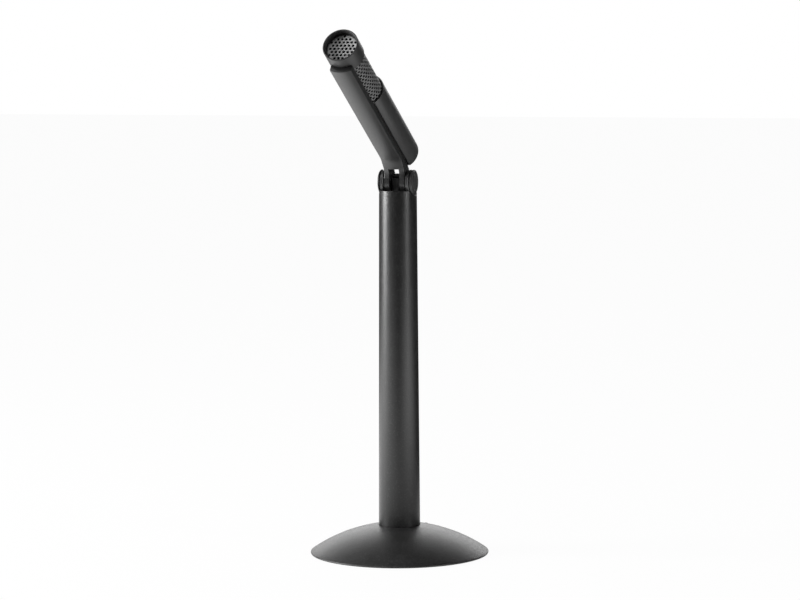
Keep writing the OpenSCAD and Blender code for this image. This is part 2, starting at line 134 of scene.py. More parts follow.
class Paint:
    # One node tree that is written as expressions
    def __init__(self, name, tree=None):
        self.material = None
        if tree is None:
            self.material = bpy.data.materials.new(name)
            self.material.use_nodes = True
            tree = self.material.node_tree
            self.shader = tree.nodes["Principled BSDF"]
        self.tree = tree

    def node(self, kind, settings=None, values=None, output=0):
        made = self.tree.nodes.new("ShaderNode" + kind)
        for key, value in (settings or {}).items():
            setattr(made, key, value)
        for key, value in (values or {}).items():
            if isinstance(value, Wire):
                self.tree.links.new(value.socket, made.inputs[key])
            else:
                made.inputs[key].default_value = value
        return Wire(self, made.outputs[output])

    def maths(self, operation, left, right=0.0):
        return self.node("Math", {"operation": operation}, {0: left, 1: right})

    def place(self):
        return self.node("TexCoord", output="Object")

    def parts(self, vector):
        split = self.node("SeparateXYZ", values={0: vector}).socket.node
        return [Wire(self, socket) for socket in split.outputs]

    def noise(self, where, size, detail=2.0, rough=0.5):
        values = {"Vector": where, "Scale": 1 / (size * mm), "Detail": detail, "Roughness": rough}
        return self.node("TexNoise", {"noise_dimensions": "3D"}, values, "Fac")

    def spread(self, value, low, high, newLow=0.0, newHigh=1.0):
        values = {0: value, 1: low, 2: high, 3: newLow, 4: newHigh}
        return self.node("MapRange", {"clamp": True}, values)

    def blend(self, factor, first, second):
        values = {0: factor, "A": tint(first), "B": tint(second)}
        made = self.node("Mix", {"data_type": "RGBA"}).socket.node
        for socket, value in zip((made.inputs[0], made.inputs[6], made.inputs[7]), values.values()):
            if isinstance(value, Wire):
                self.tree.links.new(value.socket, socket)
            else:
                socket.default_value = value
        return Wire(self, made.outputs[2])

    def bump(self, height, strength, depth, normal=None):
        values = {"Height": height, "Strength": strength, "Distance": depth * mm}
        if normal:
            values["Normal"] = normal
        return self.node("Bump", values=values)

    def finish(self, **looks):
        for key, value in looks.items():
            socket = self.shader.inputs[key.replace("_", " ")]
            if isinstance(value, Wire):
                self.tree.links.new(value.socket, socket)
            else:
                socket.default_value = tint(value) if "Color" in key else value
        return self.material


def tint(colour):
    if isinstance(colour, Wire):
        return colour
    if isinstance(colour, (int, float)):
        colour = (colour, colour, colour)
    return (*colour, 1)


def makeStudio():
    bpy.ops.mesh.primitive_plane_add(size=12, location=(0, 0, 0))
    floor = bpy.context.object
    floor.name = "floor"
    paint = Paint("studioFloor")
    across, along, up = paint.parts(paint.place())
    glow = studio["tableLevel"]
    for x, y, near, far, level in studio["patches"]:
        away = paint.maths("SQRT", (across - x) * (across - x) + (along - y) * (along - y))
        glow = paint.spread(away, near, far, level, 0) + glow
    seen = paint.node("LightPath", output="Is Camera Ray")
    glow = glow + seen * (studio["floorSeen"] - glow)
    floor.data.materials.append(paint.finish(
        Base_Color=0.04, Roughness=0.9, Specular_IOR_Level=0.0,
        Emission_Color=1.0, Emission_Strength=glow))
    areaLight("keyLeft", (-0.92, -0.39, 0.24), (0, 0, 0.12), (0.4, 0.7), studio["keyPower"])
    areaLight("rimRight", (0.97, -0.26, 0.24), (0, 0, 0.12), (0.2, 0.7), studio["rimPower"])
    areaLight("topFront", (-0.3, -0.5, 1.0), (0, 0, 0.15), (0.5, 0.5), studio["topPower"])
    world = bpy.data.worlds.new("studio")
    bpy.context.scene.world = world
    world.use_nodes = True
    sky = Paint("sky", world.node_tree)
    across, along, up = sky.parts(sky.node("TexCoord", output="Generated"))
    a = math.radians(cameraView["azimuth"])
    behind = along * math.cos(a) - across * math.sin(a)
    wall = sky.spread(behind, *studio["wallSides"]) * sky.spread(up, *studio["wallFoot"])
    level = wall * studio["backLevel"] + studio["roomLevel"]
    seen = sky.node("LightPath", output="Is Camera Ray")
    level = level + seen * (studio["backdrop"] - level)
    background = world.node_tree.nodes["Background"]
    background.inputs[0].default_value = (1, 1, 1, 1)
    world.node_tree.links.new(level.socket, background.inputs[1])


makeStudio()
bpy.context.scene.view_settings.view_transform = "Standard"
print("camera and studio ready")


# Where each assembly stands, as matrices that take its own millimetres to the frame's metres
def middleOf(node):
    low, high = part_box(node)
    return (low + high) / 2


def placeAt(origin, side, way):
    axes = Matrix((side, way.cross(side), way)).transposed().to_4x4()
    return Matrix.Translation(origin) @ axes @ Matrix.Scale(mm, 4)


hingePoint = Vector(frame["record"]["behaviour"]["joints"][0]["pos_m"])
sideways, upright = Vector((1, 0, 0)), Vector((0, 0, 1))
barrelWay = (middleOf("end_grille") - middleOf("core_plug")).normalized()
barrelFoot = middleOf("core_plug") + barrelWay * (hingePoint - middleOf("core_plug")).dot(barrelWay)
standPlace = placeAt(Vector((0, 0, 0)), sideways, upright)
hingePlace = placeAt(hingePoint, sideways, upright)
headPlace = placeAt(hingePoint, sideways, barrelWay)       # +Z along the barrel, +Y to its back
barrelPlace = placeAt(barrelFoot, sideways, barrelWay)     # the same, about its centre line
barrelBack = (barrelFoot - hingePoint).length / mm
onHinge = Matrix.Rotation(math.radians(90), 4, "Y")        # turns +Z to +X


def spanOf(node, place):
    # lowest and highest corner of a CAD node, in one of the places above
    points = [place.inverted() @ v.co for v in frame["nodes"][node].data.vertices]
    return [Vector([pick(p[i] for p in points) for i in range(3)]) for pick in (min, max)]


# Modelling by hand, one step each
def freshStart():
    if bpy.context.mode != "OBJECT":
        bpy.ops.object.mode_set(mode="OBJECT")
    bpy.ops.object.select_all(action="DESELECT")


def focus(piece):
    freshStart()
    piece.select_set(True)
    bpy.context.view_layer.objects.active = piece


def tidyMesh(piece):
    focus(piece)
    bpy.ops.object.mode_set(mode="EDIT")
    bpy.ops.mesh.select_all(action="SELECT")
    bpy.ops.mesh.remove_doubles(threshold=0.002)
    bpy.ops.mesh.normals_make_consistent(inside=False)
    bpy.ops.object.mode_set(mode="OBJECT")


def turned(name, outline, sides=96, ends=False):
    # A turned piece: one circle, extruded and resized from point to point of (radius, height)
    freshStart()
    radius, height = outline[0]
    bpy.ops.mesh.primitive_circle_add(vertices=sides, radius=radius, location=(0, 0, height))
    piece = bpy.context.object
    piece.name = name
    bpy.ops.object.transform_apply()
    bpy.ops.object.mode_set(mode="EDIT")
    bpy.ops.mesh.select_all(action="SELECT")
    for nextRadius, nextHeight in outline[1:] + ([] if ends else outline[:1]):
        step = {"value": (0, 0, nextHeight - height)}
        bpy.ops.mesh.extrude_region_move(TRANSFORM_OT_translate=step)
        ratio = nextRadius / radius
        bpy.ops.transform.resize(value=(ratio, ratio, 1), center_override=(0, 0, nextHeight))
        radius, height = nextRadius, nextHeight
    bpy.ops.mesh.select_all(action="SELECT")
    if ends:
        bpy.ops.mesh.fill_holes(sides=0)
    tidyMesh(piece)
    return piece


def block(name, low, high):
    freshStart()
    middle = [(a + b) / 2 for a, b in zip(low, high)]
    size = [b - a for a, b in zip(low, high)]
    bpy.ops.mesh.primitive_cube_add(size=1, location=middle, scale=size)
    piece = bpy.context.object
    piece.name = name
    bpy.ops.object.transform_apply()
    return piece


def bar(name, radius, start, end, turn=None, sides=48):
    freshStart()
    bpy.ops.mesh.primitive_cylinder_add(
        vertices=sides, radius=radius, depth=end - start, location=(0, 0, (start + end) / 2))
    piece = bpy.context.object
    piece.name = name
    bpy.ops.object.transform_apply()
    if turn:
        piece.data.transform(turn)
    return piece


def combine(piece, tool, operation="DIFFERENCE"):
    focus(piece)
    cut = piece.modifiers.new("cut", "BOOLEAN")
    cut.object, cut.operation, cut.solver = tool, operation, "EXACT"
    bpy.ops.object.modifier_apply(modifier=cut.name)
    bpy.data.objects.remove(tool)


def soften(piece, width, angle=40, segments=2):
    focus(piece)
    edge = piece.modifiers.new("edge", "BEVEL")
    edge.width, edge.segments = width, segments
    edge.limit_method, edge.angle_limit = "ANGLE", math.radians(angle)
    bpy.ops.object.modifier_apply(modifier=edge.name)


def settle(piece, place, body, nodes, material, smooth=35):
    tidyMesh(piece)
    piece.data.transform(place)
    bpy.ops.object.shade_smooth_by_angle(angle=math.radians(smooth))
    piece.data.materials.clear()
    piece.data.materials.append(material)
    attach(piece, body)
    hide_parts(*nodes)
    print("settled", piece.name, len(piece.data.polygons))
    return piece


def arcPoints(middle, radius, start, end, steps):
    angles = [math.radians(start + (end - start) * i / steps) for i in range(steps + 1)]
    return [(middle[0] + radius * math.cos(a), middle[1] + radius * math.sin(a)) for a in angles]


def flow(stations, at):
    # Smooth curve through a few (place, value) stations
    last = len(stations) - 1
    at = min(max(at, stations[0][0]), stations[last][0])
    i = max(k for k in range(last) if stations[k][0] <= at)
    slopes = []
    for k in (i, i + 1):
        (x0, y0), (x1, y1) = stations[max(k - 1, 0)], stations[min(k + 1, last)]
        slopes.append((y1 - y0) / (x1 - x0))
    (x0, y0), (x1, y1) = stations[i], stations[i + 1]
    width = x1 - x0
    t = (at - x0) / width
    rise = y0 * (2 * t ** 3 - 3 * t ** 2 + 1) + y1 * (3 * t ** 2 - 2 * t ** 3)
    return rise + width * (slopes[0] * (t ** 3 - 2 * t ** 2 + t) + slopes[1] * (t ** 3 - t ** 2))


# Finishes
def powderCoat(name, colour, roughness):
    # Black coat with a fine sprayed grain, a little mottled
    paint = Paint(name)
    where = paint.place()
    grain = paint.noise(where, 0.62, 3, 0.6)
    mottle = paint.noise(where, 6, 3)
    flecks = paint.spread(grain, 0.52, 0.72)
    shade = paint.blend(paint.spread(mottle, 0.3, 0.7), colour * 0.8, colour * 1.15)
    shade = paint.blend(flecks * 0.8, shade, colour * 3.2)
    rough = paint.spread(grain, 0.3, 0.7, roughness - 0.07, roughness + 0.09)
    rough = rough + (mottle - 0.5) * 0.08
    soft = paint.bump(paint.noise(where, 2.4, 2), 0.12, 0.1)
    fine = paint.bump(grain, 0.42, 0.12, soft)
    return paint.finish(Base_Color=shade, Roughness=rough, Normal=fine)


def smoothPlastic(name, colour, roughness):
    # Semi-gloss moulded plastic with faint flow waves and light handling marks
    paint = Paint(name)
    where = paint.place()
    waves = paint.noise(where, 9, 2)
    marks = paint.noise(where, 0.9, 4, 0.65)
    shade = paint.blend(waves, colour * 0.85, colour * 1.2)
    rough = roughness + (waves - 0.5) * 0.12 + paint.spread(marks, 0.5, 0.8, 0, 0.12)
    normal = paint.bump(waves, 0.10, 0.5)
    normal = paint.bump(marks, 0.10, 0.03, normal)
    return paint.finish(Base_Color=shade, Roughness=rough, Normal=normal)


def grainedPlastic(name, colour, roughness, grainSize=0.35):
    # Matte moulded plastic with a fine spark-eroded grain
    paint = Paint(name)
    where = paint.place()
    grain = paint.noise(where, grainSize, 3, 0.6)
    cloud = paint.noise(where, 5, 2)
    shade = paint.blend(grain, colour * 0.7, colour * 1.3)
    shade = paint.blend(paint.spread(cloud, 0.35, 0.75, 0, 0.5), shade, colour * 1.35)
    rough = paint.spread(grain, 0.3, 0.7, roughness - 0.06, roughness + 0.08)
    return paint.finish(Base_Color=shade, Roughness=rough, Normal=paint.bump(grain, 0.35, 0.06))


def paintedSheet(name, colour, roughness, metallic=0.0):
    # Thin perforated sheet under paint, with darker runs and small worn spots
    paint = Paint(name)
    where = paint.place()
    runs = paint.noise(where, 1.8, 3)
    specks = paint.noise(where, 0.22, 2, 0.6)
    shade = paint.blend(runs, colour * 0.72, colour * 1.15)
    shade = paint.blend(paint.spread(specks, 0.6, 0.75, 0, 0.6), shade, colour * 1.5)
    rough = roughness + (runs - 0.5) * 0.2
    normal = paint.bump(specks, 0.2, 0.02, paint.bump(runs, 0.15, 0.1))
    return paint.finish(Base_Color=shade, Roughness=rough, Metallic=metallic, Normal=normal)


def bareMetal(name, colour, roughness):
    # Plated steel or drawn aluminium with fine scratches
    paint = Paint(name)
    where = paint.place()
    stretched = paint.node("Mapping", values={"Vector": where, "Scale": (1, 1, 0.08)})
    scratches = paint.noise(stretched, 0.3, 4, 0.7)
    stains = paint.noise(where, 4, 3)
    shade = paint.blend(stains, [c * 0.8 for c in colour], colour)
    rough = paint.spread(scratches, 0.3, 0.7, roughness - 0.08, roughness + 0.12)
    return paint.finish(
        Base_Color=shade, Roughness=rough, Metallic=1.0, Normal=paint.bump(scratches, 0.15, 0.02))


def castIron(name):
    paint = Paint(name)
    where = paint.place()
    sand = paint.noise(where, 0.8, 5, 0.7)
    shade = paint.blend(sand, (0.05, 0.05, 0.052), (0.16, 0.155, 0.15))
    return paint.finish(
        Base_Color=shade, Roughness=paint.spread(sand, 0.3, 0.7, 0.55, 0.8), Metallic=0.6,
        Normal=paint.bump(sand, 0.6, 0.3))


def rubber(name, colour):
    paint = Paint(name)
    where = paint.place()
    skin = paint.noise(where, 0.5, 3)
    dust = paint.noise(where, 3, 3, 0.6)
    shade = paint.blend(paint.spread(dust, 0.45, 0.8, 0, 0.6), colour, colour * 2.6)
    return paint.finish(
        Base_Color=shade, Roughness=paint.spread(dust, 0.3, 0.7, 0.62, 0.8),
        Normal=paint.bump(skin, 0.25, 0.05))


def openFoam(name, colour, cell):
    # Cells as round pores between lighter struts; the pores carry painted shade, darker towards each cell's
    # middle, in place of the shade inside the open cells
    paint = Paint(name)
    where = paint.place()
    pores = paint.node(
        "TexVoronoi", {"feature": "DISTANCE_TO_EDGE"},
        {"Vector": where, "Scale": 1 / (cell * mm)}, "Distance")
    struts = paint.spread(pores, 0.02, 0.16, 1, 0)
    # painted shade: pore centres drop to 0.3 of the foam colour, struts rise to 2.2 of it
    shade = paint.blend(struts, colour * 0.3, colour * 2.2)
    return paint.finish(
        Base_Color=shade, Roughness=0.95, Specular_IOR_Level=0.2, Normal=paint.bump(struts, 0.8, 0.3))


def felt(name, colour):
    paint = Paint(name)
    where = paint.place()
    fibres = paint.noise(where, 0.15, 5, 0.8)
    shade = paint.blend(fibres, colour * 0.6, colour * 1.8)
    return paint.finish(
        Base_Color=shade, Roughness=0.97, Sheen_Weight=0.3, Normal=paint.bump(fibres, 0.7, 0.1))


def solderMask(name):
    paint = Paint(name)
    where = paint.place()
    weave = paint.noise(where, 0.5, 2)
    copper = paint.spread(paint.noise(where, 1.6, 1), 0.5, 0.54)
    shade = paint.blend(copper, (0.012, 0.09, 0.035), (0.03, 0.17, 0.06))
    normal = paint.bump(copper + weave * 0.2, 0.4, 0.05)
    return paint.finish(Base_Color=shade, Roughness=0.35, Normal=normal)


finishes = {
    "base_black": powderCoat("baseCoat", 0.019, 0.47),
    "tube_black": powderCoat("tubeCoat", 0.009, 0.36),
    "hinge_black": smoothPlastic("hingePlastic", 0.034, 0.32),
    "housing_gloss": smoothPlastic("housingPlastic", 0.018, 0.34),
    "sleeve_matte": grainedPlastic("sleevePlastic", 0.030, 0.38),
    "cap_matte": grainedPlastic("capPlastic", 0.022, 0.45, 0.25),
    "grille_grey": paintedSheet("grillePaint", 0.60, 0.48),
    "mesh_dark": paintedSheet("meshPaint", 0.14, 0.40),
    "inner_black": grainedPlastic("innerPlastic", 0.012, 0.6),
    "rubber_black": rubber("footRubber", 0.016),
    "lead_black": rubber("leadJacket", 0.012),
    "foam_black": openFoam("windFoam", 0.006, 0.45),
    "felt_black": felt("capsuleFelt", 0.01),
    "cast_iron": castIron("weightIron"),
    "zinc_steel": bareMetal("zincPlate", (0.62, 0.63, 0.64), 0.35),
    "washer_nylon": smoothPlastic("washerNylon", 0.03, 0.5),
    "capsule_metal": bareMetal("capsuleCan", (0.70, 0.71, 0.72), 0.28),
    "board_green": solderMask("solderMask"),
}

slotOf = {part["node"]: part["material_slot"] for part in frame["record"]["subparts"]}
for nodeName, node in frame["nodes"].items():
    for holder in node.material_slots:
        holder.material = finishes[slotOf[nodeName]]
print("finishes ready")


baseShape = {
    "domeRadius": 66,      # the spherical top
    "wall": 2,
    "rimRound": 0.5,
    "seat": 0.05,          # room round the plate
    "ledge": 6.6,          # how far the inner dome stops short of the rim
    "bossRing": 20,
    "bossRadius": 2.6,
    "bossFoot": 4,
    "bossBore": 1.1,
    "boreEnds": (3, 7.2),
    "bossAngle": 30,       # of the first boss; the others follow every 120 degrees
    "glandBore": 1.6,
    "leadBore": 1.35,
    "boreStep": 29.8,      # where the gland's two bores meet
    "padEdge": 0.25,
}


def makeBase():
    low, high = spanOf("base_shell", standPlace)
    plateHigh = spanOf("base_plate", standPlace)[1]
    glandLow, glandHigh = spanOf("cable_gland", standPlace)
    tubeHigh = spanOf("stalk_tube", standPlace)[1]
    dome, rimRound = baseShape["domeRadius"], baseShape["rimRound"]
    inner, rim, hole = dome - baseShape["wall"], high.x, tubeHigh.x + 0.1
    centre = high.z - math.sqrt(dome ** 2 - hole ** 2)
    rimAngle = math.degrees(math.acos((rim - rimRound) / (dome - rimRound)))
    rimHeight = centre + (dome - rimRound) * math.sin(math.radians(rimAngle))
    seat = plateHigh.x + baseShape["seat"]

    def angleAt(sphere, radius):
        return math.degrees(math.acos(radius / sphere))

    outline = arcPoints((0, centre), dome, angleAt(dome, hole), rimAngle, 36)
    outline += arcPoints((rim - rimRound, rimHeight), rimRound, rimAngle, -45, 6)[1:]
    outline += [(seat, low.z), (seat, plateHigh.z + baseShape["seat"])]
    ledge = rim - baseShape["ledge"]
    outline += arcPoints((0, centre), inner, angleAt(inner, ledge), angleAt(inner, hole), 16)
    shell = turned("baseShell", outline, 160)
    for i in range(3):
        a = math.radians(baseShape["bossAngle"] + 120 * i)
        ring = baseShape["bossRing"]
        move = Matrix.Translation((ring * math.cos(a), ring * math.sin(a), 0))
        top = centre + math.sqrt(inner ** 2 - (ring + baseShape["bossRadius"]) ** 2)
        boss = bar("boss", baseShape["bossRadius"], baseShape["bossFoot"], top + 0.6, move, 32)
        combine(shell, boss, "UNION")
        combine(shell, bar("bore", baseShape["bossBore"], *baseShape["boreEnds"], move, 24))
    glandRadius = (glandHigh.z - glandLow.z) / 2 + 0.05
    glandHeight = (glandHigh.z + glandLow.z) / 2
    across = Matrix.Translation((0, 0, glandHeight)) @ Matrix.Rotation(math.radians(-90), 4, "X")
    combine(shell, bar("glandHole", glandRadius, glandLow.y - 3, rim + 3, across))
    settle(shell, standPlace, "stand", ["base_shell"], finishes["base_black"], 30)

    padLow, padHigh = spanOf("foot_pad", standPlace)
    radius, edge = padHigh.x, baseShape["padEdge"]
    outline = [(radius - edge, padLow.z), (radius, padLow.z + edge), (radius, padHigh.z - 0.1),
               (radius - 0.1, padHigh.z)]
    pad = turned("footPad", outline, 128, ends=True)
    settle(pad, standPlace, "stand", ["foot_pad"], finishes["rubber_black"])

    outer, bore, lead = glandRadius - 0.05, baseShape["glandBore"], baseShape["leadBore"]
    start, end, step = glandLow.y, glandHigh.y, baseShape["boreStep"]
    outline = [(outer, start), (outer, end - 0.5), (outer - 0.1, end - 0.15), (outer - 0.3, end),
               (bore + 0.12, end), (bore, end - 0.12), (bore, step), (lead, step), (lead, start)]
    gland = turned("cableGland", outline, 48)
    gland.data.transform(across)
    settle(gland, standPlace, "stand", ["cable_gland"], finishes["rubber_black"])


makeBase()


tubeShape = {
    "topRadius": 7.9,
    "wall": 1.2,
    "lip": 0.25,           # rounding of the top edge
    "notch": 5.65,         # radius cut away about the hinge
    "edge": 0.1,
    "belt": 9,             # a ring this far below the top leaves the long wall alone
}


def makeTube():
    low, high = spanOf("stalk_tube", standPlace)
    bottom, top, lip = high.x, tubeShape["topRadius"], tubeShape["lip"]
    wall = tubeShape["wall"]
    slope = (bottom - top) / (high.z - low.z)
    belt = high.z - tubeShape["belt"]
    beltRadius = top + slope * tubeShape["belt"]
    outline = [(bottom, low.z), (beltRadius, belt)]
    outline += arcPoints((top - lip, high.z - lip), lip, 0, 90, 4)
    outline += [(top - wall, high.z), (beltRadius - wall, belt), (bottom - wall, low.z)]
    tube = turned("stalkTube", outline, 144)
    drop = Matrix.Translation(Vector((0, 0, hingePoint.z / mm))) @ onHinge
    combine(tube, bar("notch", tubeShape["notch"], -12, 12, drop, 96))
    soften(tube, tubeShape["edge"], 50)
    settle(tube, standPlace, "stand", ["stalk_tube"], finishes["tube_black"], 40)


makeTube()


hingeShape = {
    "earRadius": 5.25,
    "earIn": 4.9,
    "earOut": 7.3,
    "grooveIn": 6.2,
    "grooveOut": 6.8,
    "grooveRadius": 4.4,
    "pocketFloor": 5.6,
    "pocketRadius": 2.6,
    "coverSeat": 6.95,
    "coverRadius": 4.7,
    "coverEdge": 7.35,
    "coverTop": 7.6,
    "screw": 1.03,
    "deck": -5.8,          # height of the plug's top, from the hinge screw
    "plugRadius": 6.6,
    "plugLength": 9.6,
    "tongueHalf": 1.7,
    "tongueRound": 3.7,
    "tongueCorner": 0.3,
    "tongueFront": -3.1,
    "tongueLedge": 1.9,    # height of the stem's front, below the round
    "tongueStep": -1.9,    # how far back the round stands
}


def makeHinge():
    h = hingeShape
    ear, floor = h["earRadius"], h["pocketFloor"]
    seat, cover = h["coverSeat"], h["coverRadius"] + 0.05
    outline = [(ear - 0.2, h["earIn"]), (ear, h["earIn"] + 0.2), (ear, h["grooveIn"] - 0.2),
               (ear - 0.2, h["grooveIn"]), (h["grooveRadius"], h["grooveIn"] + 0.05),
               (h["grooveRadius"], h["grooveOut"] - 0.05), (ear - 0.15, h["grooveOut"]),
               (ear, h["grooveOut"] + 0.15)]
    outline += arcPoints((ear - 0.3, h["earOut"] - 0.3), 0.3, 0, 90, 4)
    outline += [(cover, h["earOut"]), (cover, seat), (h["pocketRadius"], seat),
                (h["pocketRadius"], floor), (h["screw"], floor), (h["screw"], h["earIn"])]
    plugLow = h["deck"] - h["plugLength"]
    cap = turned("hingeCap", [(h["plugRadius"], plugLow), (h["plugRadius"], h["deck"] - 0.2),
                              (h["plugRadius"] - 0.2, h["deck"])], 96, ends=True)
    for side in (0, 1):
        turn = Matrix.Rotation(math.pi * side, 4, "Z")
        web = bar("web", h["plugRadius"] - 0.05, h["deck"] - 1, -1, None, 96)
        keep = block("keep", (h["earIn"], -4, h["deck"] - 2), (h["plugRadius"] + 2, 4, 0))
        combine(web, keep, "INTERSECT")
        web.data.transform(turn)
        disc = turned("ear", outline, 96)
        disc.data.transform(turn @ onHinge)
        # the web ends inside the disc's solid ring, clear of the pocket for the screw
        hollow = bar("hollow", cover, h["earIn"] - 1, h["earOut"] + 2, turn @ onHinge, 64)
        combine(web, hollow)
        combine(cap, web, "UNION")
        combine(cap, disc, "UNION")
    half, front = h["tongueHalf"], h["tongueFront"]
    reach, corner = h["tongueRound"], h["tongueCorner"]
    outline = arcPoints((reach - corner, corner - half), corner, -90, 0, 3)
    outline += arcPoints((reach - corner, half - corner), corner, 0, 90, 3)
    tongue = turned("tongue", outline, 96, ends=True)
    tongue.data.transform(onHinge)
    combine(tongue, block("flat", (-half - 1, -9, -9), (half + 1, h["tongueStep"], 9)))
    stem = block("stem", (-half, front, h["deck"] - 1), (half, reach - 0.4, h["tongueLedge"]))
    soften(stem, 0.55, 35, 4)
    combine(cap, tongue, "UNION")
    combine(cap, stem, "UNION")
    combine(cap, bar("screwBore", h["screw"], -floor, floor, onHinge, 32))
    leadSlot = block("leadSlot", (-1.5, 3.7, plugLow - 1), (1.5, 7.7, h["deck"] + 1))
    combine(cap, leadSlot)
    combine(cap, bar("hollow", 3.4, plugLow - 1, h["deck"] - 2, None, 48))
    settle(cap, hingePlace, "stand", ["hinge_cap"], finishes["hinge_black"], 30)

    for side, name in ((0, "Right"), (1, "Left")):
        radius, edge, top = h["coverRadius"], h["coverEdge"], h["coverTop"]
        outline = [(radius - 0.1, seat), (radius, seat + 0.1), (radius, edge - 0.1),
                   (radius - 0.12, edge + 0.05), (radius - 0.4, edge + 0.12),
                   (3.35, top - 0.09), (3.25, top - 0.2), (3.0, top - 0.2), (2.9, top - 0.06),
                   (1.5, top), (0.4, top)]
        disc = turned("hingeCover" + name, outline, 96, ends=True)
        disc.data.transform(Matrix.Rotation(math.pi * side, 4, "Z") @ onHinge)
        settle(disc, hingePlace, "stand", ["hinge_cover_" + name.lower()],
               finishes["hinge_black"], 30)


makeHinge()


housingShape = {
    "half": 4.5,
    "armHalf": 4.4,
    "hollow": 7.4,         # radius of the hollow back, about the barrel
    "crown": 0.8,
    "frontLine": ((0.2, -4.9), (1.0, -4.8), (4.0, -2.3), (6.6, 1.3), (9.5, 2.7), (13, 3.7), (20, 3.7)),
    "backLine": ((0.2, 5.4), (1.0, 5.5), (4.0, 6.2), (6.6, 6.4), (9.5, 6.4), (13, 6.4), (20, 6.4)),
    "crownLine": ((0.2, 0), (3.6, 0.05), (6.6, 0.7), (9.5, 0.92), (13, 1), (20, 1)),
    "knuckle": 5,
    "slotHalf": 2.3,
    "slotRound": 5.5,
    "slotTurn": 58,
    "coreRoom": 6.6,
    "spineLow": 13,        # where the neck ends and the straight spine starts
    "screw": 1.06,
    "edge": 0.3,
    "cutEdge": 0.12,
}


def makeHousing():
    h = housingShape
    top = spanOf("front_housing", headPlace)[1].z
    body = block("frontHousing", (-1, 0, 0.2), (1, 1, top))
    focus(body)
    bpy.ops.object.mode_set(mode="EDIT")
    stations = [0.2 + 0.7 * i for i in range(1, 20)] + [16 + 6 * i for i in range(12)]
    for along in stations:
        bpy.ops.mesh.select_all(action="SELECT")
        bpy.ops.mesh.bisect(plane_co=(0, 0, along), plane_no=(0, 0, 1))
    for i in range(1, 16):
        bpy.ops.mesh.select_all(action="SELECT")
        bpy.ops.mesh.bisect(plane_co=(i / 8 - 1, 0, 0), plane_no=(1, 0, 0))
    bpy.ops.object.mode_set(mode="OBJECT")
    for vertex in body.data.vertices:
        across, isBack, along = vertex.co
        half = h["half"] + (h["armHalf"] - h["half"]) * max(0, min(1, (9.5 - along) / 3))
        x = across * half
        if isBack > 0.5:
            straight = flow(h["backLine"], along)
            hollow = barrelBack - math.sqrt(h["hollow"] ** 2 - x ** 2)
            y = min(straight, hollow) if along > h["spineLow"] - 1 else straight
        else:
            y = flow(h["frontLine"], along) - flow(h["crownLine"], along) * h["crown"] * (1 - across ** 2)
        vertex.co = (x, y, along)
    soften(body, h["edge"], 50, 3)
    radius, end = h["knuckle"], h["armHalf"]
    outline = [(radius - 0.2, -end), (radius, 0.2 - end), (radius, end - 0.2), (radius - 0.2, end)]
    knuckle = turned("knuckle", outline, 96, ends=True)
    knuckle.data.transform(onHinge)
    combine(body, knuckle, "UNION")
    room = bar("room", h["coreRoom"], 0, h["spineLow"], Matrix.Translation((0, barrelBack, 0)), 96)
    combine(body, room)
    half = h["slotHalf"]
    combine(body, bar("slotRound", h["slotRound"], -half, half, onHinge, 96))
    window = block("window", (-half, -12, -8), (half, 12, h["slotRound"]))
    window.data.transform(Matrix.Rotation(math.radians(-h["slotTurn"]), 4, "X"))
    combine(body, window)
    combine(body, bar("bore", h["screw"], -10, 10, onHinge, 32))
    soften(body, h["cutEdge"], 55)
    settle(body, headPlace, "head", ["front_housing"], finishes["housing_gloss"], 40)


makeHousing()


sleeveShape = {
    "wall": 0.6,
    "endWall": 1.2,
    "endRound": 1.5,
    "lip": 0.15,
    "opening": 4.9,        # half width of the front opening
    "openingDepth": -5.2,
    "grommetHole": 2.2,
    "screwSide": 4.0,
    "screwHole": 0.9,
    "screwSeat": 1.65,
    "seatDepth": 0.7,
    "edge": 0.12,
}


def makeSleeve():
    s = sleeveShape
    low, high = spanOf("rear_sleeve", barrelPlace)
    radius, bottom, top = high.y, low.z, high.z
    inner, lip, corner = radius - s["wall"], s["lip"], s["endRound"]
    outline = [(s["grommetHole"], bottom)]
    outline += arcPoints((radius - corner, bottom + corner), corner, -90, 0, 10)
    outline += arcPoints((radius - lip, top - lip), lip, 0, 90, 3)
    outline += arcPoints((inner + lip, top - lip), lip, 90, 180, 3)
    outline += [(inner, bottom + s["endWall"]), (s["grommetHole"], bottom + s["endWall"])]
    sleeve = turned("rearSleeve", outline, 128)
    opening = block("opening", (-s["opening"], -12, -1), (s["opening"], s["openingDepth"], top + 5))
    combine(sleeve, opening)
    aside = Matrix.Translation((0, s["screwSide"], 0))
    combine(sleeve, bar("screwHole", s["screwHole"], bottom - 1, bottom + 3, aside, 32))
    seat = bar("screwSeat", s["screwSeat"], bottom - 1, bottom + s["seatDepth"], aside, 32)
    combine(sleeve, seat)
    soften(sleeve, s["edge"], 50)
    settle(sleeve, barrelPlace, "head", ["rear_sleeve"], finishes["sleeve_matte"], 40)


makeSleeve()


capShape = {
    "lip": 0.45,
    "slope": 0.3,
    "seatWall": 5.9,
    "coreWall": 6.25,
    "meshWall": 6.75,
    "rimRound": 0.22,
    "ringWidth": 0.45,
    "ringRound": 0.15,
}


